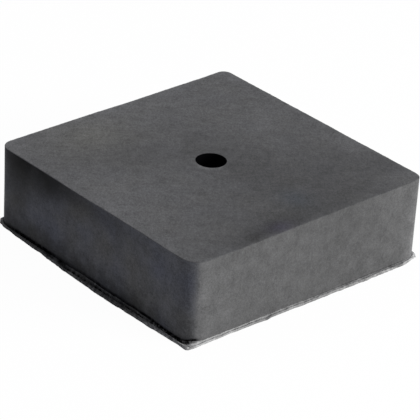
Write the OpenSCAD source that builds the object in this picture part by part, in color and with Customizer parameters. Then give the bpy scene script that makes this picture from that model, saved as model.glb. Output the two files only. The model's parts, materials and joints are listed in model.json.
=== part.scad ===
// Anti-vibration pad: a square block of solid rubber with a centre bolt hole,
// cast in one piece, with the untrimmed flash of its mould left round the base.
// Origin: axis of the bolt hole, in the plane of the base. +Z is up.

/* [Block] */
// Length of each side of the square block
block_side = 100; // [60:1:160]
// Height of the block
block_height = 30; // [15:1:60]
// Usual radius of the four upright corners
corner_radius = 5; // [4:0.5:12]
// Softening of the edge round the top face
top_softening = 0.4; // [0.2:0.1:1]

/* [Bolt hole] */
// Diameter of the bolt hole
bore_diameter = 10; // [6:0.5:20]
// Softening of the hole's upper mouth
mouth_softening = 0.3; // [0.1:0.1:1]

/* [Flash lip] */
// Mean reach of the lip beyond the wall
lip_reach = 1; // [0.8:0.1:1.6]
// Extra reach where the flash bulges out of the left side
bulge_reach = 1.75; // [0:0.25:3]
// Extra reach of the small torn tag on the front side
tag_reach = 0.3; // [0:0.1:0.8]
// Mean height of the bead at the foot of the wall
bead_height = 1.3; // [1:0.1:1.6]
// How far the bead rises and falls where the mould closed unevenly
bead_tilt = 0.6; // [0:0.1:0.6]
// Thickness of the web between the bead and the rim
web_thickness = 0.4; // [0.25:0.05:0.6]
// Height of the curled rim
rim_height = 0.85; // [0.6:0.05:1.2]
// Radius of the lip's sharpest corner in plan
lip_corner_radius = 1.2; // [0.8:0.1:1.6]
// Steps along each side of the lip
side_steps = 56; // [24:4:72]

/* [Hidden] */
$fn = 96;

half_side = block_side / 2;
bore_radius = bore_diameter / 2;
cut_past = 1;

// Radius of each upright corner, right, back, left, front, as a share of corner_radius
corner_share = [0.75, 0.625, 0.875, 1.25];
function wall_radius(corner) = corner_radius * corner_share[corner];

// The lip and the sole are one skin: a section carried round the block's foot, closed by
// the flat base below and by a flat seat that is buried in the block.
corner_steps = 5;
section_steps = 9;
root_depth = 1.2;
root_gap = 0.12;
seat_height = 0.7;
block_foot = 0.2;
bead_place = 0.5;
bead_width = 0.45;
rim_inset = 0.4;
rim_width = 0.5;
edge_height = 0.3;

// Mean reach of each side, front, right, back, left, as a share of lip_reach
side_share = [1.22, 0.9, 1, 0.85];
// Growth of the reach from the start to the end of each side
side_growth = [0.9, -0.1, -0.2, 0.4];
// Thinning of the lip at the corner where each side starts and ends
start_thinning = [0, 0.6, 0.2, 0];
end_thinning = [1.65, 0.1, 0.3, 0];
thinning_length = 5;
// Radius at the end of each side, as a share of lip_corner_radius
radius_share = [2.2, 1.6, 2.2, 1];
// Direction in plan in which the bead grows taller
bead_lean = [-0.7, 0.3];

bulge_side = 3;
bulge_place = 4;
bulge_length = 36;
tag_side = 0;
tag_place = -16.5;
tag_length = 1.6;
least_reach = 0.25;

// Ragged edge: wave lengths along a side, and the height of each wave
wave_lengths = [23, 9.1, 5.7];
wave_heights = [0.08, 0.06, 0.04];
wave_shift = 77;

function sum(list, i = 0) = i == len(list) ? 0 : list[i] + sum(list, i + 1);
function hump(distance, width) = exp(-pow(distance / width, 2));

function ragged(side, q) = sum([
    for (i = [0 : len(wave_lengths) - 1])
        wave_heights[i] * sin(360 * q / wave_lengths[i] + wave_shift * (side + 1) * (i + 1))
]);

// Reach of the lip beyond the wall, q mm from the middle of a side
function reach(side, q) = max(
    least_reach,
    lip_reach * side_share[side]
        + side_growth[side] * q / half_side
        - start_thinning[side] * hump(q + half_side, thinning_length)
        - end_thinning[side] * hump(q - half_side, thinning_length)
        + (side == bulge_side ? bulge_reach * hump(q - bulge_place, bulge_length) : 0)
        + (side == tag_side ? tag_reach * hump(q - tag_place, tag_length) : 0)
        + ragged(side, q)
);

// Height of the bead at a point of the plan
function bead_top(p) = bead_height + bead_tilt * (bead_lean * p) / half_side;

function along(side) = [cos(90 * side), sin(90 * side)];
function outward(side) = [sin(90 * side), -cos(90 * side)];

function side_before(side) = (side + 3) % 4;
function side_after(side) = (side + 1) % 4;
function lip_radius(corner) = lip_corner_radius * radius_share[corner];

// How far out the middle of a corner's arc lies, where the lip reaches r beyond the wall
function arc_middle(corner, r) = half_side + r - lip_radius(corner);

// One station of the lip: [point on the wall, point on the outer edge]
function side_station(side, t) =
    let (
        q = t * half_side,
        start = -arc_middle(side_before(side), reach(side_before(side), half_side)),
        end = arc_middle(side, reach(side_after(side), -half_side)),
        outer_q = (start + end) / 2 + t * (end - start) / 2,
        wall_start = wall_radius(side_before(side)) - half_side,
        wall_end = half_side - wall_radius(side),
        wall_q = (wall_start + wall_end) / 2 + t * (wall_end - wall_start) / 2
    )
    [
        along(side) * wall_q + outward(side) * half_side,
        along(side) * outer_q + outward(side) * (half_side + reach(side, q))
    ];

function corner_station(side, turn) =
    let (
        heading = outward(side) * cos(turn) + along(side) * sin(turn),
        wall_middle = (half_side - wall_radius(side)) * (along(side) + outward(side)),
        lip_middle = along(side) * arc_middle(side, reach(side_after(side), -half_side))
            + outward(side) * arc_middle(side, reach(side, half_side))
    )
    [wall_middle + heading * wall_radius(side), lip_middle + heading * lip_radius(side)];

stations = [
    for (side = [0 : 3])
        each concat(
            [for (i = [0 : side_steps]) side_station(side, 2 * i / side_steps - 1)],
            [for (i = [1 : corner_steps - 1]) corner_station(side, 90 * i / corner_steps)]
        )
];

// Height of the lip's upper side, d mm out from the wall on a stretch that reaches r mm:
// a rounded bead at the wall, a thin web, and a rim that curls up before the torn edge.
function lip_top(d, r, bead) =
    let (
        bead_part = (bead - web_thickness) * hump(d - bead_place, bead_width),
        rim_part = (rim_height - web_thickness) * hump(d - r + rim_inset, rim_width)
    )
    web_thickness + max(bead_part, rim_part);

// The section at one station: from the base, up the torn edge, over the lip, into the block
function section(station) =
    let (
        reach_line = station[1] - station[0],
        r = norm(reach_line),
        out = reach_line / r,
        bead = bead_top(station[0]),
        edge = station[1],
        root = station[0] - out * root_depth
    )
    [
        [edge[0], edge[1], 0],
        [edge[0], edge[1], edge_height],
        for (i = [section_steps - 1 : -1 : 0])
            let (
                d = root_gap + (r - root_gap) * i / section_steps,
                p = station[0] + out * d
            )
            [p[0], p[1], lip_top(d, r, bead)],
        [root[0], root[1], seat_height]
    ];

module lip_and_sole() {
    sections = [for (s = stations) section(s)];
    n = len(sections);
    m = len(sections[0]);
    skin = [
        for (i = [0 : n - 1], j = [0 : m - 2])
            let (i_next = (i + 1) % n)
            each [
                [i * m + j, i * m + j + 1, i_next * m + j],
                [i * m + j + 1, i_next * m + j + 1, i_next * m + j]
            ]
    ];
    base = [for (i = [0 : n - 1]) i * m];
    seat = [for (i = [n - 1 : -1 : 0]) i * m + m - 1];
    polyhedron(points = [for (s = sections) each s], faces = concat(skin, [base, seat]));
}

// Outline of half of a wall's section, with the softened edge at the top
module softened_outline(width) {
    translate([0, block_foot])
        square([width, block_height - top_softening - block_foot]);
    translate([0, block_foot])
        square([width - top_softening, block_height - block_foot]);
    translate([width - top_softening, block_height - top_softening])
        circle(r = top_softening);
}

// Half of the block, from its middle to one wall, between that wall's two corners
module slab(side) {
    start = wall_radius(side_before(side)) - half_side;
    end = half_side - wall_radius(side);
    rotate([0, 0, 90 * (side - 1)])
        translate([0, end, 0])
            rotate([90, 0, 0])
                linear_extrude(end - start) softened_outline(half_side);
}

module corner_post(corner) {
    middle = (half_side - wall_radius(corner)) * (along(corner) + outward(corner));
    translate([middle[0], middle[1], 0])
        rotate_extrude() softened_outline(wall_radius(corner));
}

module block() {
    for (side = [0 : 3]) {
        slab(side);
        corner_post(side);
    }
}

// The bolt hole with its softened upper mouth, as a solid to take away
module bolt_hole() {
    translate([0, 0, -cut_past])
        cylinder(r = bore_radius, h = block_height + 2 * cut_past);
    rotate_extrude()
        difference() {
            translate([0, block_height - mouth_softening])
                square([bore_radius + mouth_softening, mouth_softening + cut_past]);
            translate([bore_radius + mouth_softening, block_height - mouth_softening])
                circle(r = mouth_softening);
        }
}

module pad() {
    color([0.22, 0.22, 0.23])
        difference() {
            union() {
                block();
                lip_and_sole();
            }
            bolt_hole();
        }
}

pad();
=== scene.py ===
import json
import math

import bpy
import numpy as np
from mathutils import Matrix, Vector


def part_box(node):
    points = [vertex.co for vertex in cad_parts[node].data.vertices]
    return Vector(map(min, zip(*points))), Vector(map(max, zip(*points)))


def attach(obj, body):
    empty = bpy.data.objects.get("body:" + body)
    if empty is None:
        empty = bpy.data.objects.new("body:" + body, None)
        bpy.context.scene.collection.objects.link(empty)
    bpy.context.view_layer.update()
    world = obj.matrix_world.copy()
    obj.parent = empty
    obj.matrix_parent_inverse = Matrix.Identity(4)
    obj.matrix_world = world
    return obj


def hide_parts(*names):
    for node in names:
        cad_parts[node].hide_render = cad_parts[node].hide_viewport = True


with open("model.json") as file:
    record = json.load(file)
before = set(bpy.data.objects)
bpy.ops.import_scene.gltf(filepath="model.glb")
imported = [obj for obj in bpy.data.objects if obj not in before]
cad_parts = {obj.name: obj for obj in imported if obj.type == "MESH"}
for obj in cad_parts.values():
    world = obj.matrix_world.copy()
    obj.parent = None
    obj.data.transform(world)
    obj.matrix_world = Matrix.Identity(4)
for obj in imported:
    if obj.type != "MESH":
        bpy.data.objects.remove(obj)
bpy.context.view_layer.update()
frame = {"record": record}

mm = 0.001
padLow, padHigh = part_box("pad")
boltHole = [m for m in frame["record"]["mounts"] if m["name"] == "bolt_hole"][0]
front, right, back, left = range(4)      # the sides, in the order of the lists below

# Lengths are in millimetres. A course such as [0.8, (-0.3, 5, 20)] is a value that changes
# along a side: it starts at 0.8 and changes by -0.3 between x or y = 5 and 20. A span is the
# pair of values between which a mask rises from 0 to 1.
padFacts = {
    "block": {
        "side": 100.0,
        "height": (padHigh[2] - padLow[2]) / mm,
        "corner": 5.0,                      # usual radius of the upright corners
        "cornerShare": [0.75, 0.625, 0.875, 1.25],      # of it, at the end of each side
        "topRound": 0.2,                    # softened edge round the top face
        "holeRadius": boltHole["dims"]["r_mm"],
        "mouthRound": 0.3,                  # softened upper mouth of the hole
        "edgeNicks": 0.035,                 # roughness of the top edge
        "unevenness": 0.06,                 # how far the walls and the top wander from flat
        "swellCount": 6,                    # waves that make it up
        "swellWaves": (20, 60),             # shortest and longest of them
        "swellFoot": (3, 9),                # span of heights where the walls begin to wander
        "swellWall": (44, 49),              # span of distances from the hole, at the walls
        "swellTop": (29.5, 29.9),           # span of heights, at the top face
        "swellMouth": (7, 16),              # span of distances round the hole, on the top
    },
    "lip": {
        # reach beyond the wall, side by side
        "reach": 1.0,
        "share": [1.22, 0.9, 1.0, 0.85],    # of that reach
        "growth": [0.9, -0.1, -0.2, 0.4],   # from the start to the end of the side
        "startThin": [0.0, 0.6, 0.2, 0.0],  # thinning at its two corners
        "endThin": [1.65, 0.1, 0.3, 0.0],
        "thinLength": 5.0,
        "radius": 1.2,
        "radiusShare": [2.2, 1.6, 2.2, 1.0],            # corner at the end of the side
        "bulge": {"side": left, "place": 4.0, "length": 36.0, "reach": 1.75},
        "tag": {"side": front, "place": -17.3, "length": 1.4, "reach": 0.3},
        "waves": [(23.0, 0.08), (9.1, 0.06), (5.7, 0.04)],      # length and height of each
        "waveShift": 77.0,                  # degrees between the waves of neighbouring sides
        "leastReach": 0.25,
        # finer changes to the reach
        "fray": 0.045,                      # fine raggedness of the torn edge
        "coarseFray": 0.5,                  # share of it in longer waves
        "frontSwell": [0, (0.28, -12, 12), (-0.28, 46, 50)],
        "leftCut": 1.1,                     # thinning at the left corner
        "ear": {"width": 4.0, "span": (0.25, 0.75), "reach": 0.3},      # curl of flash on it
        "rightFill": {"place": 45.0, "length": 3.2, "span": (0.3, 0.9), "reach": 0.6},
        "torn": {"place": -18.0, "length": 1.2, "reach": 0.2},          # ragged end of the tag
        "frontLeft": [0, (1, -14, -30)],    # where the front lip is smoother
        # inset and height of each row of the torn edge
        "edge": [(0.06, 0.0), (0.01, 0.06), (0.0, 0.16), (0.03, 0.26), (0.09, 0.34)],
        # heights
        "web": 0.4,
        "leastHeight": 0.15,
        "bead": 1.3,                        # mean height of the bead at the wall's foot
        "beadTilt": 0.6,                    # how much it rises towards one corner
        "beadLean": (-0.7, 0.3),            # and towards which
        "beadRough": 0.06,
        "leftRough": 0.05,                  # more of that on the left side
        "beadPlace": 0.5,
        "beadWidth": 0.45,
        "frontLeftWider": 0.5,
        "beadShare": {                      # where the bead sinks towards the ends of a side
            "left": [0.85, (-0.55, 12, 32), (-0.2, -20, -30)],
            "front": [0.8, (-0.35, -15, 5)],
            "right": [0.05, (0.95, -40, -10)],
        },
        "rim": 0.85,
        "rimRough": 0.08,
        "rimInset": 0.4,
        "rimWidth": 0.5,
        # how wide each corner's mark is, and how far bead and rim stand up there
        "corners": {
            "leftCorner": {"at": (-1, 1), "width": 6.0, "bead": 0.0, "rim": 0.8},
            "frontCorner": {"at": (-1, -1), "width": 4.5, "bead": 0.5, "rim": 0.3},
            "rightCorner": {"at": (1, -1), "width": 6.0, "bead": 0.0, "rim": -0.5},
        },
        # parting line at the wall's foot, and a second one outside the bead on the left
        "groove": {"width": 0.28, "front": 0.10, "left": 0.8, "along": [1, (-0.35, 22, 32)]},
        "outerGroove": {"place": 1.05, "width": 0.24, "depth": 0.27,
                        "along": [1, (-1, 8, 26), (-0.6, -24, -32)]},
    },
    # how pale the rubber is, from scuffed flash and from painted highlights: 0 is plain rubber, 1 is pale
    # flash
    "scuffs": {
        "topEdge": 0.022,
        "backTopEdge": 1.2,                 # that much more along the back, as a painted highlight
        "backSpan": (0.3, 0.9),
        "mouth": 0.12,                      # on one side of the hole's mouth, as a painted highlight
        "mouthWay": (-0.68, -0.73),
        "mouthSpan": (0.2, 0.9),
        # torn edge
        "tornEdge": 0.42,
        "frontLeftEdge": 0.38,
        "tagEdge": -0.5,
        # lip of the front, right and back sides, scuffed flash and painted highlight, and how much of it
        # reaches the wall's foot
        "lip": 0.6,
        "foot": [0.75, (-0.35, -10, 20)],
        "footSpan": (0.15, 0.6),            # in shares of the reach
        "rimFade": 0.15,
        "tagFade": 0.4,
        "rimSpan": (0.6, 0.9),
        # lip of the left side, scuffed flash and painted light, with lumps
        "left": [0.78, (0.15, -22, -40), (0.2, 24, 34)],
        "leftLumps": 0.28,
        "mostLump": 1.6,
        "leftFoot": 0.35,
        "leftSpan": (0.7, 1.1),             # in millimetres from the wall
        # corners and front left part; at the left corner and the ear this is painted light where the block
        # shades them
        "leftCorner": 0.6,
        "frontCorner": 0.35,
        "frontLeft": 0.25,
        "ear": 0.6,
    },
    # how much painted shade lies in the parting lines, the hole and over the left lip: 0 is none, 1 is black
    "dirt": {
        "hole": 5.0,                        # far past 1, so the hole is painted black all over as shade
        "edge": 0.25,
        "film": 0.06,                       # painted shade over the rest of the left lip
        # left parting line: mean, spread, and where it is always full
        "groove": 0.70,
        "grooveSpread": 0.3,
        "grooveFull": [0, (1, 24, 34)],
        "outerGroove": 0.85,
        "cleanSpot": {"place": 10, "length": 6.0, "groove": 0.7, "wall": 0.4},
        # broken painted shade in the parting lines of the other sides
        "broken": 0.25,
        "brokenMean": 0.35,
        "brokenSpread": 0.5,
        "frontLeftLess": 0.8,
        # bead painted black as shade towards both ends of the left side, and how far out it reaches
        "bead": [0, (0.7, 8, 16), (-0.7, 20, 28), (0.85, -24, -32)],
        "beadReach": [0.95, (0.55, -22, -30), (-0.55, -44, -49)],
        "beadSoft": 0.15,
        "frontCorner": {"back": 2, "width": 6.0, "depth": 0.9},
        # painted shade on the wall just above the bead, up to a height that sinks towards the front corner
        "wall": [0.97, (-0.3, 22, 12), (0.3, -20, -28)],
        "wallHeight": 1.35,
        "wallAbove": 0.3,
        "wallLower": [0, (0.5, -30, -38)],
        "wallFade": 0.75,
        "wallSpan": (0.2, 0.6),
    },
    # wandering lines round the block: fewest and most waves in a turn, fall, and seed
    "wanders": {
        "fray": ((60, 420), 0.5, 11),
        "coarseFray": ((20, 60), 0.4, 12),
        "bead": ((12, 200), 0.7, 13),
        "rim": ((20, 300), 0.6, 14),
        "nicks": ((24, 380), 0.4, 15),
        "broken": ((30, 260), 0.3, 17),
        "groove": ((60, 420), 0.3, 18),
        "lumps": ((50, 320), 0.2, 19),
    },
    # stations round the block, and rows of the section
    "grid": {
        "sideSteps": 252,
        "cornerSteps": 24,
        "sideSpan": (0.55, 0.95),           # how squarely a wall faces before it is that side's
        "wanderSpread": 0.3,
        "swellSeed": 16,
        "baseRows": (0.0, 0.02, 0.15, 0.4, 0.7, 0.9, 0.98),     # shares, from hole to wall
        "underLip": 0.6,                    # share of the reach
        "lipRows": 20,
        "lipStart": 0.03,                   # gaps left at the wall and at the torn edge
        "lipEnd": 0.10,
        "lipLast": 0.93,
        "wallStart": 0.9,                   # share of the bead's height where the wall starts
        "wallRows": (0.0, 0.02, 0.035, 0.05, 0.065, 0.085, 0.12, 0.17, 0.24, 0.33, 0.43, 0.54,
                     0.66, 0.8, 0.92, 0.99),            # shares, going up
        "topEdgeRows": 7,
        "topRows": (0.004, 0.015, 0.03, 0.06, 0.12, 0.2, 0.3, 0.4, 0.52, 0.64, 0.76, 0.88,
                    0.96, 0.99, 0.998),                 # shares, from the edge to the hole
        "wornRow": 0.02,                    # how far in the edge's wear reaches
        "mouthRow": 0.985,                  # where the mouth's wear starts
        "mouthRows": 6,
        "holeRows": np.array([29.4, 28.5, 27, 24, 20, 15, 10, 5, 1]) / 30,      # of the height
    },
}
block, lip, scuffs = padFacts["block"], padFacts["lip"], padFacts["scuffs"]
dirt, wanders, grid = padFacts["dirt"], padFacts["wanders"], padFacts["grid"]


def hump(distance, width):
    # a smooth bump: e to the minus (distance / width) squared
    return np.exp(-(distance / width) ** 2)


def smoothStep(x, low, high):
    # 0 before low, 1 after high, and 3 t squared minus 2 t cubed between them
    t = np.clip((x - low) / (high - low), 0, 1)
    return t * t * (3 - 2 * t)


def course(q, facts):
    # the starting value plus each change times a smooth step between its two places
    value, *changes = facts
    for change, low, high in changes:
        value = value + change * smoothStep(q, low, high)
    return value


def wander(turn, name):
    # a closed wandering line: a sum of cosines that each go a whole number of times round,
    # with heights that vary and fall as (first / times) to the power fall, at unit spread
    waves, fall, seed = wanders[name]
    rng = np.random.default_rng(seed)
    times = np.arange(*waves)
    phase = rng.uniform(0, 2 * math.pi, len(times))
    height = (waves[0] / times) ** fall * rng.normal(1, grid["wanderSpread"], len(times))
    line = (height * np.cos(2 * math.pi * np.outer(turn, times) + phase)).sum(axis=1)
    return line / line.std()


def swell(x, y, z):
    # a slow wave over space: a sum of plane sine waves, each its own way and length, over the
    # square root of half their number
    rng = np.random.default_rng(grid["swellSeed"])
    total = 0
    for i in range(block["swellCount"]):
        way = rng.normal(size=3)
        way = way / np.linalg.norm(way)
        pace = 2 * math.pi / rng.uniform(*block["swellWaves"])
        shift = rng.uniform(0, 2 * math.pi)
        total = total + np.sin(pace * (x * way[0] + y * way[1] + z * way[2]) + shift)
    return total / math.sqrt(block["swellCount"] / 2)


def along(side):
    # unit vector along a side: one quarter turn on from the side before
    return np.array([math.cos(side * math.pi / 2), math.sin(side * math.pi / 2)])


def outward(side):
    # unit vector out of a side, a quarter turn back from the one along it
    return np.array([math.sin(side * math.pi / 2), -math.cos(side * math.pi / 2)])


def lipReach(side, q):
    # mean reach of the side, plus its growth along q, less the thinning at both corners,
    # plus the bulge or the torn tag, plus three sine waves
    half = block["side"] / 2
    reach = lip["reach"] * lip["share"][side] + lip["growth"][side] * q / half
    reach = reach - lip["startThin"][side] * hump(q + half, lip["thinLength"])
    reach = reach - lip["endThin"][side] * hump(q - half, lip["thinLength"])
    for extra in (lip["bulge"], lip["tag"]):
        if extra["side"] == side:
            reach = reach + extra["reach"] * hump(q - extra["place"], extra["length"])
    for i, (length, height) in enumerate(lip["waves"]):
        shift = math.radians(lip["waveShift"] * (side + 1) * (i + 1))
        reach = reach + height * np.sin(2 * math.pi * q / length + shift)
    return np.maximum(lip["leastReach"], reach)


def wallRadius(corner):
    # the usual corner radius times its share at the end of that side
    return block["corner"] * block["cornerShare"][corner]


def lipRadius(corner):
    # the same for the lip's outer edge
    return lip["radius"] * lip["radiusShare"][corner]


def arcMiddle(corner, reach):
    # how far out the middle of the lip's corner arc lies: half the side plus reach, less radius
    return block["side"] / 2 + reach - lipRadius(corner)


def stations():
    # stations less than half a millimetre apart round the block: the point on the wall, the
    # wall's outward direction there, and the point on the lip's outer edge
    half = block["side"] / 2
    wall, facing, edge = [], [], []
    for side in (front, right, back, left):
        before, after = (side + 3) % 4, (side + 1) % 4
        t = np.linspace(-1, 1, grid["sideSteps"] + 1)[:, None]
        start = -arcMiddle(before, lipReach(before, half))
        end = arcMiddle(side, lipReach(after, -half))
        wallStart = wallRadius(before) - half
        wallEnd = half - wallRadius(side)
        wallQ = (wallStart + wallEnd) / 2 + t * (wallEnd - wallStart) / 2
        wall.append(along(side) * wallQ + outward(side) * half)
        facing.append(np.repeat(outward(side)[None], len(t), axis=0))
        edgeQ = (start + end) / 2 + t * (end - start) / 2
        edge.append(along(side) * edgeQ + outward(side) * (half + lipReach(side, t * half)))
        turn = np.linspace(0, math.pi / 2, grid["cornerSteps"] + 1)[1:-1, None]
        heading = outward(side) * np.cos(turn) + along(side) * np.sin(turn)
        wallMiddle = wallEnd * (along(side) + outward(side))
        lipMiddle = along(side) * end + outward(side) * arcMiddle(side, lipReach(side, half))
        wall.append(wallMiddle + heading * wallRadius(side))
        facing.append(heading)
        edge.append(lipMiddle + heading * lipRadius(side))
    return np.vstack(wall), np.vstack(facing), np.vstack(edge)


def towards(facing, side, span=grid["sideSpan"]):
    # 1 where the wall faces that side's way, 0 where it has turned away from it
    return smoothStep(facing @ outward(side), *span)


def roundMarks(wall, facing, edge):
    # soft marks from 0 to 1 at each station: its side, its corner and the places where the
    # lip changes; each is a hump over distance, a course along the side, or their product
    half = block["side"] / 2
    x, y = wall.T
    mark = {
        "front": towards(facing, front),
        "right": towards(facing, right),
        "left": towards(facing, left),
    }
    mark["others"] = 1 - mark["left"]
    for name, facts in lip["corners"].items():
        away = np.hypot(x - facts["at"][0] * half, y - facts["at"][1] * half)
        mark[name] = hump(away, facts["width"])
    ear, fill, torn = lip["ear"], lip["rightFill"], lip["torn"]
    earHump = hump(np.hypot(x + half, y - half), ear["width"])
    mark["ear"] = earHump * towards(facing, back, ear["span"])
    mark["rightFill"] = hump(x - fill["place"], fill["length"]) * towards(facing, front, fill["span"])
    mark["torn"] = hump(edge[:, 0] - torn["place"], torn["length"]) * mark["front"]
    mark["frontLeft"] = mark["front"] * course(x, lip["frontLeft"])
    return mark


def raggedReach(reach, turn, x, mark):
    # the plain reach plus fray, the swell of the front side, the filled right end, the torn
    # tag and the ear, less the cut at the left corner wherever there is no ear
    fray = wander(turn, "fray") + lip["coarseFray"] * wander(turn, "coarseFray")
    reach = reach + lip["fray"] * fray
    reach = reach + mark["front"] * course(x, lip["frontSwell"])
    for name in ("ear", "rightFill", "torn"):
        reach = reach + lip[name]["reach"] * mark[name]
    reach = reach - lip["leftCut"] * mark["leftCorner"] * (1 - mark["ear"])
    return np.maximum(reach, lip["leastReach"])


def lipForm(turn, wall, mark):
    # what the lip's section needs at each station: the bead leans over the block, wanders and
    # sinks along the sides, and bead and rim stand up or sink at the corners
    x, y = wall.T
    lean = wall @ np.array(lip["beadLean"]) / (block["side"] / 2)
    rough = lip["beadRough"] + lip["leftRough"] * mark["left"]
    bead = lip["bead"] + lip["beadTilt"] * lean + rough * wander(turn, "bead")
    rim = lip["rim"] + lip["rimRough"] * wander(turn, "rim")
    for name, facts in lip["corners"].items():
        bead = bead + facts["bead"] * mark[name]
        rim = rim + facts["rim"] * mark[name]
    share = 1
    for name, q in (("left", y), ("front", x), ("right", y)):
        share = share + mark[name] * (course(q, lip["beadShare"][name]) - 1)
    groove = lip["groove"]
    return {
        "beadTop": lip["web"] + (bead - lip["web"]) * np.clip(share, 0, 1),
        "beadWidth": lip["beadWidth"] * (1 + lip["frontLeftWider"] * mark["frontLeft"]),
        "rim": rim,
        "grooveWidth": groove["width"] * course(y, groove["along"]),
        "grooveDepth": groove["front"] + (groove["left"] - groove["front"]) * mark["left"],
        "outerShare": mark["left"] * course(y, lip["outerGroove"]["along"]),
    }


def lipPaint(turn, wall, facing, mark, beadTop):
    # how pale (scuffed flash and painted highlight) or dark with painted shade each part of the lip is at
    # each station, before the section's own shape
    x, y = wall.T
    half = block["side"] / 2
    lumps = np.clip(wander(turn, "lumps"), -scuffs["mostLump"], scuffs["mostLump"])
    leftPale = course(y, scuffs["left"]) + scuffs["leftLumps"] * lumps
    # the left corner and the ear are made paler as painted light, where the block shades them
    leftPale = leftPale + scuffs["leftCorner"] * mark["leftCorner"]
    corners = scuffs["frontCorner"] * mark["frontCorner"] + scuffs["ear"] * mark["ear"]
    edgePale = scuffs["tornEdge"] * mark["others"] + leftPale * mark["left"] + corners
    edgePale = edgePale + scuffs["frontLeftEdge"] * mark["frontLeft"] + scuffs["tagEdge"] * mark["torn"]

    # painted shade: the parting lines, the black bead and the left wall's foot, less of it at one spot
    spot = dirt["cleanSpot"]
    lessShade = hump(y - spot["place"], spot["length"])
    groove = np.clip(dirt["groove"] + dirt["grooveSpread"] * wander(turn, "groove"), 0, 1)
    groove = np.maximum(groove, course(y, dirt["grooveFull"])) * (1 - spot["groove"] * lessShade)
    corner = dirt["frontCorner"]
    away = np.hypot(x + half, y + half - corner["back"])
    bead = mark["left"] * course(y, dirt["bead"])
    bead = np.maximum(bead, corner["depth"] * hump(away, corner["width"]))
    broken = np.clip(dirt["brokenMean"] + dirt["brokenSpread"] * wander(turn, "broken"), 0, 1)
    wallShade = towards(facing, left, dirt["wallSpan"]) * (1 - mark["leftCorner"])
    wallTop = np.maximum(beadTop, dirt["wallHeight"]) + dirt["wallAbove"]
    return {
        "left": mark["left"] * leftPale,
        "foot": course(x, scuffs["foot"]),
        "corners": corners + scuffs["frontLeft"] * mark["frontLeft"],
        "edge": edgePale,
        "groove": mark["left"] * groove,
        "broken": mark["others"] * broken * (1 - dirt["frontLeftLess"] * mark["frontLeft"]),
        "bead": bead,
        "beadReach": course(y, dirt["beadReach"]),
        "wall": wallShade * (course(y, dirt["wall"]) - spot["wall"] * lessShade),
        "wallTop": wallTop - mark["left"] * course(y, dirt["wallLower"]),
    }


def lipRow(d, reach, mark, form, paint):
    # one row over the lip, at distance d from the wall. Height: the web, plus the higher of the
    # bead and the rim, less both grooves. Pale, scuffed flash and painted highlight: rises from the
    # wall's foot outwards and fades at the rim. Painted shade: follows the grooves, and covers the
    # bead where that is black.
    outerGroove = lip["outerGroove"]
    beadHump = hump(np.maximum(d - lip["beadPlace"], 0), form["beadWidth"])
    bead = (form["beadTop"] - lip["web"]) * beadHump
    rim = (form["rim"] - lip["web"]) * hump(d - reach + lip["rimInset"], lip["rimWidth"])
    inner = hump(d, form["grooveWidth"])
    outer = form["outerShare"] * hump(d - outerGroove["place"], outerGroove["width"])
    z = lip["web"] + np.maximum(bead, rim)
    z = z - form["grooveDepth"] * inner - outerGroove["depth"] * outer

    rise = paint["foot"] + (1 - paint["foot"]) * smoothStep(d / reach, *scuffs["footSpan"])
    leftRise = scuffs["leftFoot"] + (1 - scuffs["leftFoot"]) * smoothStep(d, *scuffs["leftSpan"])
    fade = scuffs["rimFade"] * mark["others"] * (1 - mark["frontLeft"]) + scuffs["tagFade"] * mark["torn"]
    pale = scuffs["lip"] * mark["others"] * rise + paint["left"] * leftRise + paint["corners"]
    pale = pale - smoothStep(d / reach, *scuffs["rimSpan"]) * fade

    soft = dirt["beadSoft"]
    beadBlack = 1 - smoothStep(d, paint["beadReach"] - soft, paint["beadReach"] + soft)
    grime = np.maximum(inner * paint["groove"], dirt["outerGroove"] * outer)
    grime = grime + inner * dirt["broken"] * paint["broken"]
    grime = np.maximum(grime, paint["bead"] * beadBlack)
    grime = (grime + dirt["film"] * mark["left"] * (1 - inner)) * (1 - mark["leftCorner"])
    return np.maximum(z, lip["leastHeight"]), pale, np.clip(grime, 0, 1)


def unevenFaces(points, facing):
    # the walls move along their outward direction by the swell, and the top sinks by its size
    x, y, z = points[..., 0], points[..., 1], points[..., 2]
    away = np.hypot(x, y)
    push = block["unevenness"] * swell(x, y, z)
    onWall = smoothStep(z, *block["swellFoot"]) * smoothStep(away, *block["swellWall"])
    onTop = smoothStep(z, *block["swellTop"]) * smoothStep(away, *block["swellMouth"])
    points[..., 0] += push * onWall * facing[:, None, 0]
    points[..., 1] += push * onWall * facing[:, None, 1]
    points[..., 2] -= np.abs(push) * onTop


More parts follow.
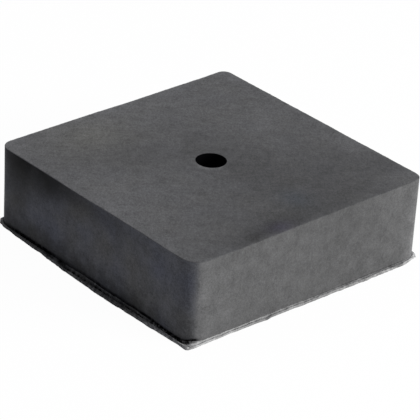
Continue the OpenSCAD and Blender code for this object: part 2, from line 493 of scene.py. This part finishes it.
def padSurface():
    # The whole pad as one skin on a grid: the first direction goes round the block, the second
    # carries a closed section from the hole, out under the base, up the torn edge, over the
    # lip, up the wall, across the top and down the hole. With it go two paints: pale, where
    # the flash is scuffed and where highlights are painted, and painted shade, in the parting
    # lines, the hole and over the left lip.
    wall, facing, edge = stations()
    count = len(wall)
    step = np.linalg.norm(np.roll(wall, -1, axis=0) - wall, axis=1)
    turn = np.concatenate([[0], np.cumsum(step)[:-1]]) / step.sum()
    mark = roundMarks(wall, facing, edge)
    reach = np.linalg.norm(edge - wall, axis=1)
    outDir = (edge - wall) / reach[:, None]
    reach = raggedReach(reach, turn, wall[:, 0], mark)
    form = lipForm(turn, wall, mark)
    paint = lipPaint(turn, wall, facing, mark, form["beadTop"])
    angle = np.arctan2(wall[:, 1], wall[:, 0])
    hole = np.stack([np.cos(angle), np.sin(angle)], axis=1)
    rows, pales, shadeAmounts = [], [], []

    def put(plan, z, pale=0.0, grime=0.0):
        rows.append(np.column_stack([plan, np.broadcast_to(z, count)]))
        pales.append(np.broadcast_to(pale, count))
        shadeAmounts.append(np.broadcast_to(grime, count))

    # base, from the hole out to the torn edge
    for s in grid["baseRows"]:
        put(hole * block["holeRadius"] * (1 - s) + wall * s, 0.0)
    put(wall + outDir * (reach * grid["underLip"])[:, None], 0.0)
    for inset, z in lip["edge"]:
        put(wall + outDir * (reach - inset)[:, None], z, paint["edge"], dirt["edge"] * mark["left"])
    # over the lip: rim, web, bead and the parting lines
    for s in np.linspace(grid["lipLast"], 0.0, grid["lipRows"]):
        d = grid["lipStart"] + (reach - grid["lipStart"] - grid["lipEnd"]) * s
        put(wall + outDir * d[:, None], *lipRow(d, reach, mark, form, paint))
    # wall, from just below the bead's top, with painted shade at its foot on the left
    top = block["height"] - block["topRound"]
    foot = lip["web"] + (form["beadTop"] - lip["web"]) * grid["wallStart"] - form["grooveDepth"]
    foot = np.maximum(foot, lip["leastHeight"])
    for s in grid["wallRows"]:
        z = foot + (top - foot) * s
        fade = 1 - smoothStep(z, paint["wallTop"], paint["wallTop"] + dirt["wallFade"])
        put(wall, z, 0.0, paint["wall"] * fade)
    # softened top edge, worn paler, and a painted highlight most of all along the back
    backHighlight = smoothStep(facing[:, 1] + facing[:, 0], *scuffs["backSpan"])
    wearAndHighlight = scuffs["topEdge"] * (1 + scuffs["backTopEdge"] * backHighlight)
    nicks = block["edgeNicks"] * wander(turn, "nicks")
    for a in np.linspace(0, math.pi / 2, grid["topEdgeRows"]):
        inset = block["topRound"] * (1 - math.cos(a)) + nicks * math.sin(2 * a)
        put(wall - facing * inset[:, None], top + block["topRound"] * math.sin(a), wearAndHighlight * math.sin(a))
    # top face, from its edge in to the hole's mouth
    topWall = wall - facing * block["topRound"]
    mouth = block["holeRadius"] + block["mouthRound"]
    # a painted highlight on one side of the hole's mouth
    mouthHighlight = scuffs["mouth"] * smoothStep(hole @ np.array(scuffs["mouthWay"]), *scuffs["mouthSpan"])
    for s in grid["topRows"]:
        pale = wearAndHighlight * math.exp(-(s / grid["wornRow"]) ** 2) + mouthHighlight * (s > grid["mouthRow"])
        put(topWall * (1 - s) + hole * mouth * s, block["height"], pale)
    # mouth of the hole and its wall, painted black as shade
    for a in np.linspace(0, math.pi / 2, grid["mouthRows"]):
        inset = block["mouthRound"] * math.sin(a)
        drop = block["mouthRound"] * (1 - math.cos(a))
        put(hole * (mouth - inset), block["height"] - drop, 0.0, dirt["hole"] * math.sin(a))
    for s in grid["holeRows"]:
        put(hole * block["holeRadius"], block["height"] * s, 0.0, dirt["hole"])

    points = np.stack(rows, axis=1)
    unevenFaces(points, facing)
    return points * mm, np.stack(pales, axis=1), np.stack(shadeAmounts, axis=1)


def skinMesh(name, points, paints):
    # quads between neighbours on the grid, closed in both directions
    n, m = points.shape[:2]
    index = np.arange(n * m).reshape(n, m)
    nextI = np.roll(index, -1, axis=0)
    nextJ = np.roll(index, -1, axis=1)
    nextIJ = np.roll(nextI, -1, axis=1)
    quads = np.stack([index, nextI, nextIJ, nextJ], axis=2).reshape(-1, 4)
    mesh = bpy.data.meshes.new(name)
    mesh.from_pydata(points.reshape(-1, 3).tolist(), [], quads.tolist())
    mesh.update()
    for paint, values in paints.items():
        layer = mesh.attributes.new(paint, "FLOAT", "POINT")
        layer.data.foreach_set("value", values.reshape(-1).astype(np.float32))
    mesh.polygons.foreach_set("use_smooth", np.ones(len(mesh.polygons), bool))
    piece = bpy.data.objects.new(name, mesh)
    bpy.context.scene.collection.objects.link(piece)
    return piece


class Sock:
    # a shader socket that can be used in ordinary sums
    def __init__(self, shade, out):
        self.shade = shade
        self.out = out

    def maths(self, operation, *values):
        return self.shade.node("ShaderNodeMath", {"operation": operation}, dict(enumerate(values)))

    def __add__(self, other):
        return self.maths("ADD", self, other)

    def __radd__(self, other):
        return self.maths("ADD", other, self)

    def __sub__(self, other):
        return self.maths("SUBTRACT", self, other)

    def __rsub__(self, other):
        return self.maths("SUBTRACT", other, self)

    def __mul__(self, other):
        return self.maths("MULTIPLY", self, other)

    def __rmul__(self, other):
        return self.maths("MULTIPLY", other, self)


class Shade:
    # the node tree of a material or of the world
    def __init__(self, owner):
        owner.use_nodes = True
        self.tree = owner.node_tree
        self.tree.nodes.clear()

    def node(self, kind, settings=None, inputs=None, output=0):
        # any node: its settings first, then the values or links of its sockets
        made = self.tree.nodes.new(kind)
        for key, value in (settings or {}).items():
            setattr(made, key, value)
        for key, value in (inputs or {}).items():
            if isinstance(value, Sock):
                self.tree.links.new(value.out, made.inputs[key])
            else:
                made.inputs[key].default_value = value
        return Sock(self, made.outputs[output]) if made.outputs else None

    def vector(self, operation, inputs, output=0):
        return self.node("ShaderNodeVectorMath", {"operation": operation}, inputs, output)

    def axes(self, place):
        parts = self.node("ShaderNodeSeparateXYZ", {}, {0: place}).out.node.outputs
        return [Sock(self, parts[i]) for i in range(3)]

    def ramp(self, value, low, high):
        return self.node("ShaderNodeMapRange", {"interpolation_type": "SMOOTHSTEP"},
                         {0: value, 1: low, 2: high})

    def clamp(self, value):
        return self.node("ShaderNodeClamp", {}, {0: value, 1: 0.0, 2: 1.0})

    def bell(self, distance, sharpness):
        # e to the minus sharpness times distance squared
        power = distance * distance * -sharpness
        return power.maths("EXPONENT", power)

    def noise(self, place, size, detail, roughness, output=0):
        # size is the width of a blotch in millimetres
        return self.node("ShaderNodeTexNoise", {}, {
            "Vector": place, "Scale": 1.0 / size, "Detail": detail, "Roughness": roughness,
        }, output)

    def turned(self, place, turn, size, middle=(0, 0, 0)):
        # the pattern moved to its middle, turned about Z and drawn out, size in its own units
        return self.node("ShaderNodeMapping", {"vector_type": "TEXTURE"}, {
            "Vector": place, "Location": middle, "Rotation": (0, 0, math.radians(turn)), "Scale": size,
        })

    def spot(self, place, middle, size, turn=0.0):
        # a soft patch: e to the minus (distance / size) squared
        inside = self.turned(place, turn, size, middle)
        return self.bell(self.vector("LENGTH", {0: inside}, output="Value"), 1.0)

    def blend(self, factor, first, second, kind="MIX"):
        return self.node("ShaderNodeMix", {"data_type": "RGBA", "blend_type": kind},
                         {0: factor, 6: first, 7: second}, output=2)


rubber = {
    "colour": (0.0955, 0.0955, 0.0960),
    "blueBloom": (0.93, 0.98, 1.18),    # times the colour, where it has bloomed
    # pale colour of scuffed flash and of painted highlights
    "paleFlash": (0.44, 0.44, 0.436),
    # colour of the painted shade in the parting lines and the hole
    "crevice": (0.0018, 0.0018, 0.0021),
    "roughness": 0.66,
    "shine": 0.12,
    "creviceRoughness": 0.9,
    "bump": {"strength": 0.4, "depth": 0.0002, "cloud": 0.6},
    # where the top begins, going up, and the left and front walls, going out
    "topSpan": (29.6, 29.85),
    "wallSpan": (-46.5, -49.5),
    # width of a blotch in mm, detail and roughness of each noise
    "noises": {
        "stray": (9.0, 3.0, 0.6),
        "cloud": (5.0, 4.0, 0.6),
        "fine": (0.9, 4.0, 0.75),
        "grain": (0.45, 1.0, 0.5),
        "drawn": (1.2, 3.0, 0.6),
        "wiped": (1.3, 4.0, 0.68),
        "bloom": (15.0, 2.0, 0.5),
        "flakes": (1.4, 4.0, 0.75),
        "patchy": (5.0, 3.0, 0.6),
        "crumbs": (1.6, 4.0, 0.75),
    },
    # turn in degrees and drawn-out shape of the speckle, wiping marks and upright marks
    "speckleShape": (47.0, (1.5, 1, 1)),
    "wipedShape": (-42.0, (9, 1, 1)),
    "drawnShape": (0.0, (1, 1, 6)),
    # strength of each noise in the tone, with what the left wall, front wall and top add
    "mottle": {
        "cloud": 0.75, "cloudLeft": 0.45, "cloudFront": 0.10,
        "fine": 0.85, "fineTop": 0.25, "fineLeft": 0.45,
        "grain": 0.40, "wipedTop": 0.45, "drawnWalls": 0.25,
    },
    "stray": {"walls": 6.0, "top": 4.0},       # how far the edges of the patches wander
    "washer": {"middle": (6.5, 0.0, 30.0), "radius": 14.5, "sharpness": 1.6, "depth": 0.12},
    # painted shade at the foot of the left wall: heights, raggedness, and what is left at its front end
    "foot": {"depth": 0.78, "span": (12.0, 0.5), "ragged": 8.0, "least": 0.32, "along": (-44.0, -22.0)},
    "bloom": {"from": 0.32, "gain": 2.8, "all": 0.12, "left": 0.88},
    "scuff": {"mean": 0.85, "flakes": 5.0, "patchy": 1.6},
    "smoothFront": {"all": 0.15, "left": 0.5, "along": (5.0, -15.0)},     # fewer flakes there
    "crumbs": 3.2,
    # darker upper back part of the left wall
    "oily": {"middle": (30, 32, 0), "size": (26, 8, 1), "mean": 0.5, "cloud": 1.1},
    # dusty and oily places on the top: middle, size and colour
    "stainDepth": 0.7,
    "stains": [
        ((-22, 36, 30), (16, 12, 9), (0.0985, 0.0975, 0.0890)),
        ((-12, -47, 30), (5, 3, 9), (0.0830, 0.0760, 0.1120)),
        ((5, -36, 30), (5, 6, 9), (0.0800, 0.0900, 0.1020)),
    ],
    # soft patches on each face, partly handling and dust and partly painted light and shade: middle, width,
    # turn, change of tone
    "patches": {
        "top": [
            ((-20, -47), (15, 4), 15, -0.36),
            ((-4, -46), (36, 7), 0, -0.27),
            ((20, -31), (46, 24), 10, -0.31),
            ((6, -2), (10, 24), 0, -0.25),
            ((-24, 22), (24, 11), -40, -0.22),
            ((-25, 31), (11, 9), 0, 0.22),
            ((0, 52), (50, 14), 10, 0.22),
            ((-45, -4), (16, 30), -20, 0.12),
            ((33, 11), (6, 5), 0, 0.14),
            ((46, -17), (6, 9), 5, 0.33),
            ((46, -36), (6, 5), 0, -0.11),
            ((47, -48), (10, 4), -20, 0.30),
            ((-47, 47), (6, 6), 0, 0.20),
        ],
        "left": [
            ((41, 28), (5, 18), 0, -0.72),
            ((24, 27), (13, 7), -5, -0.80),
            ((36, 30), (6, 14), 0, -0.78),
            ((2, 27), (28, 4), 0, -0.36),
            ((28, 31), (19, 4), 0, -0.45),
            ((26, 5), (12, 4), -5, -0.30),
            ((-44, 22), (2, 14), 0, -0.20),
        ],
        "front": [
            # the first two are painted light on the front corner, the fourth a painted highlight down the
            # right-hand corner
            ((-46, 15), (7, 30), 10, 0.12),
            ((-47, 15), (2.5, 30), 0, 0.32),
            ((-35, 10), (4, 10), 0, 0.12),
            ((50, 12), (5, 29), -10, 0.60),
            ((35, 16), (11, 30), -25, 0.08),
            ((18, 20), (15, 27), 40, -0.12),
        ],
    },
}


def faceTone(shade, flat, name):
    # the patches of one face multiplied together, on its own flat coordinates
    tone = 1.0
    for middle, size, turn, change in rubber["patches"][name]:
        tone = tone * (1 + shade.spot(flat, (*middle, 0), (*size, 1), turn) * change)
    return tone


def rubberMaterial():
    mat = bpy.data.materials.new("mouldedRubber")
    shade = Shade(mat)

    def noise(at, name):
        return shade.noise(at, *rubber["noises"][name]) - 0.5

    where = shade.node("ShaderNodeTexCoord", output="Object")
    place = shade.vector("SCALE", {0: where, "Scale": 1 / mm})
    pale = shade.node("ShaderNodeAttribute", {"attribute_name": "pale"}, output="Fac")
    grime = shade.node("ShaderNodeAttribute", {"attribute_name": "grime"}, output="Fac")
    x, y, z = shade.axes(place)
    onTop = shade.ramp(z, *rubber["topSpan"])
    onLeft = shade.ramp(x, *rubber["wallSpan"]) * (1 - onTop)
    onFront = shade.ramp(y, *rubber["wallSpan"]) * (1 - onTop) * (1 - onLeft)

    # patches wander a little, so that no edge of them is a clean curve
    stray = shade.noise(place, *rubber["noises"]["stray"], output=1)
    stray = shade.vector("SUBTRACT", {0: stray, 1: (0.5, 0.5, 0.5)})
    reach = rubber["stray"]["walls"] + onTop * rubber["stray"]["top"]
    stray = shade.vector("SCALE", {0: stray, "Scale": reach})
    strayX, strayY, strayZ = shade.axes(shade.vector("ADD", {0: place, 1: stray}))
    flat = {
        "top": shade.node("ShaderNodeCombineXYZ", {}, {0: strayX, 1: strayY}),
        "left": shade.node("ShaderNodeCombineXYZ", {}, {0: strayY, 1: strayZ}),
        "front": shade.node("ShaderNodeCombineXYZ", {}, {0: strayX, 1: strayZ}),
    }
    tone = 1.0
    for name, mask in (("top", onTop), ("left", onLeft), ("front", onFront)):
        tone = tone * (1 + mask * (faceTone(shade, flat[name], name) - 1))

    # mottle, speckle and fine grain everywhere, wiping marks on the top, upright ones on the walls
    level = rubber["mottle"]
    cloud = noise(place, "cloud")
    speckle = shade.turned(place, *rubber["speckleShape"])
    fine = noise(speckle, "fine")
    wiped = noise(shade.turned(place, *rubber["wipedShape"]), "wiped")
    drawn = noise(shade.turned(place, *rubber["drawnShape"]), "drawn")
    mottle = cloud * (level["cloud"] + onLeft * level["cloudLeft"] + onFront * level["cloudFront"])
    mottle = mottle + fine * (level["fine"] + onTop * level["fineTop"] + onLeft * level["fineLeft"])
    mottle = mottle + noise(speckle, "grain") * level["grain"]
    mottle = mottle + wiped * (onTop * level["wipedTop"]) + drawn * ((1 - onTop) * level["drawnWalls"])
    tone = tone * (1 + mottle)

    # faint ring left by a washer
    washer = rubber["washer"]
    ring = shade.vector("DISTANCE", {0: place, 1: washer["middle"]}, output="Value") - washer["radius"]
    tone = tone * (1 - shade.bell(ring, washer["sharpness"]) * onTop * washer["depth"])

    # painted shade: the foot of the left wall is darker, least so at its front end
    foot = rubber["foot"]
    lasting = foot["least"] + (1 - foot["least"]) * shade.ramp(y, *foot["along"])
    footShadeMask = shade.ramp(z + cloud * foot["ragged"], *foot["span"]) * lasting
    tone = tone * (1 - onLeft * footShadeMask * foot["depth"])

    # bluish bloom, most of it on the left wall
    bloom = rubber["bloom"]
    bloomMask = shade.clamp((shade.noise(place, *rubber["noises"]["bloom"]) - bloom["from"]) * bloom["gain"])
    bloomMask = bloomMask * (bloom["all"] * (1 - onFront) + onLeft * bloom["left"])
    blue = tuple(a * b for a, b in zip(rubber["colour"], rubber["blueBloom"]))
    body = shade.blend(bloomMask, (*rubber["colour"], 1), (*blue, 1))
    for middle, size, colour in rubber["stains"]:
        mask = shade.spot(place, middle, size) * onTop * rubber["stainDepth"]
        body = shade.blend(mask, body, (*colour, 1))

    # scuffed flash and painted highlight, in flakes
    scuff, smooth = rubber["scuff"], rubber["smoothFront"]
    patchy = noise(place, "flakes") * scuff["flakes"] + noise(place, "patchy") * scuff["patchy"]
    patchy = patchy * (1 - onFront * (smooth["all"] + smooth["left"] * shade.ramp(x, *smooth["along"])))
    body = shade.blend(shade.clamp(pale * (scuff["mean"] + patchy)), body, (*rubber["paleFlash"], 1))
    grey = shade.node("ShaderNodeCombineColor", {}, {0: tone, 1: tone, 2: tone})
    body = shade.blend(1.0, body, grey, "MULTIPLY")
    bump = shade.node("ShaderNodeBump", {}, {
        "Strength": rubber["bump"]["strength"], "Distance": rubber["bump"]["depth"],
        "Height": fine + cloud * rubber["bump"]["cloud"],
    })
    skin = shade.node("ShaderNodeBsdfPrincipled", {}, {
        "Base Color": body, "Roughness": rubber["roughness"], "Specular IOR Level": rubber["shine"],
        "Normal": bump,
    })

    # painted shade in the parting lines, the hole and the left lip, and a darker upper back part of the left
    # wall
    shadeSkin = shade.node("ShaderNodeBsdfPrincipled", {}, {
        "Base Color": (*rubber["crevice"], 1), "Roughness": rubber["creviceRoughness"],
        "Specular IOR Level": 0.0,
    })
    oily = rubber["oily"]
    film = shade.spot(flat["left"], oily["middle"], oily["size"]) * onLeft
    film = film * (oily["mean"] + cloud * oily["cloud"])
    dark = shade.clamp(grime * (1.0 + noise(place, "crumbs") * rubber["crumbs"]) + film)
    mixed = shade.node("ShaderNodeMixShader", {}, {0: dark, 1: skin, 2: shadeSkin})
    shade.node("ShaderNodeOutputMaterial", {}, {"Surface": mixed})
    return mat


points, pale, grime = padSurface()
pad = skinMesh("rubberPad", points, {"pale": pale, "grime": grime})
print("pad:", len(pad.data.polygons) * 2, "triangles")
pad.data.materials.append(rubberMaterial())
print("rubber:", len(pad.data.materials[0].node_tree.nodes), "nodes")
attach(pad, "root")
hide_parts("pad")

view = {
    "azimuth": -42.5, "elevation": 28.65, "roll": 3.324,      # degrees
    "distance": 0.8308, "across": 0.000382, "upward": -0.0033,
    "lens": 212.83, "sensor": 36, "nearest": 0.05,
}


def makeCamera():
    # stands at an azimuth and elevation about the block's middle, rolled about its line of sight
    az, el, roll = (math.radians(view[k]) for k in ("azimuth", "elevation", "roll"))
    away = Vector((math.sin(az) * math.cos(el), -math.cos(az) * math.cos(el), math.sin(el)))
    level = Vector((math.cos(az), math.sin(az), 0))
    rise = away.cross(level)
    across = level * math.cos(roll) + rise * math.sin(roll)
    up = rise * math.cos(roll) - level * math.sin(roll)
    data = bpy.data.cameras.new("camera")
    data.lens = view["lens"]
    data.sensor_width = view["sensor"]
    data.clip_start = view["nearest"]
    camera = bpy.data.objects.new("camera", data)
    bpy.context.scene.collection.objects.link(camera)
    middle = Vector((0, 0, block["height"] * mm / 2))
    spot = middle + away * view["distance"] + across * view["across"] + up * view["upward"]
    turn = Matrix((across, up, away)).transposed().to_4x4()
    camera.matrix_world = Matrix.Translation(spot) @ turn
    bpy.context.scene.camera = camera


lamps = {
    "key": {"direction": (0.45, -0.80, 0.34), "distance": 1.2, "size": (0.7, 0.5), "power": 16.3,
            "colour": (1.0, 1.0, 0.985)},
    "overhead": {"direction": (0.1, 0.35, 1.0), "distance": 1.2, "size": (0.9, 0.9), "power": 1.6,
                 "colour": (1.0, 1.0, 1.0)},
}


def areaLight(name):
    facts = lamps[name]
    data = bpy.data.lights.new(name, "AREA")
    data.shape = "RECTANGLE"
    data.size, data.size_y = facts["size"]
    data.energy = facts["power"]
    data.color = facts["colour"]
    lamp = bpy.data.objects.new(name, data)
    bpy.context.scene.collection.objects.link(lamp)
    away = Vector(facts["direction"]).normalized()
    turn = away.to_track_quat("Z", "Y").to_matrix().to_4x4()
    lamp.matrix_world = Matrix.Translation(away * facts["distance"]) @ turn


studio = {
    "sky": 0.43,
    "skyColour": (0.962, 0.965, 1.05),
    "floorHalf": 3.0,                   # metres
    "floorLevel": -0.1 * mm,            # just clear of the base
    "floorPaint": 0.45,
    "floorWhite": 0.97,                 # how much of it is plain white to the camera
}


def seenDirectly(shade):
    # 1 for what the camera sees, straight, in a reflection or through glass
    rays = shade.node("ShaderNodeLightPath").out.node.outputs
    both = Sock(shade, rays["Is Camera Ray"]) + Sock(shade, rays["Is Glossy Ray"])
    return shade.clamp(both + Sock(shade, rays["Is Transmission Ray"]))


def makeWorld():
    world = bpy.data.worlds.new("studio")
    bpy.context.scene.world = world
    shade = Shade(world)
    sky = shade.node("ShaderNodeBackground", {}, {
        "Color": (*studio["skyColour"], 1), "Strength": studio["sky"],
    })
    white = shade.node("ShaderNodeBackground", {}, {"Color": (1, 1, 1, 1), "Strength": 1.0})
    mixed = shade.node("ShaderNodeMixShader", {}, {0: seenDirectly(shade), 1: sky, 2: white})
    shade.node("ShaderNodeOutputWorld", {}, {"Surface": mixed})


def makeFloor():
    half, level = studio["floorHalf"], studio["floorLevel"]
    mesh = bpy.data.meshes.new("floor")
    corners = [(-half, -half, level), (half, -half, level), (half, half, level), (-half, half, level)]
    mesh.from_pydata(corners, [], [(0, 1, 2, 3)])
    floor = bpy.data.objects.new("floor", mesh)
    bpy.context.scene.collection.objects.link(floor)
    mat = bpy.data.materials.new("paleFloor")
    shade = Shade(mat)
    seen = seenDirectly(shade)
    tone = studio["floorPaint"] + seen * (1.0 - studio["floorPaint"])
    grey = shade.node("ShaderNodeCombineColor", {}, {0: tone, 1: tone, 2: tone})
    paint = shade.node("ShaderNodeBsdfDiffuse", {}, {"Color": grey})
    glow = shade.node("ShaderNodeEmission", {}, {"Color": (1, 1, 1, 1), "Strength": 1.0})
    mixed = shade.node("ShaderNodeMixShader", {}, {0: seen * studio["floorWhite"], 1: paint, 2: glow})
    shade.node("ShaderNodeOutputMaterial", {}, {"Surface": mixed})
    floor.data.materials.append(mat)


makeCamera()
makeWorld()
makeFloor()
areaLight("key")
areaLight("overhead")
bpy.context.scene.view_settings.view_transform = "Standard"
print("camera, floor and lights are set")
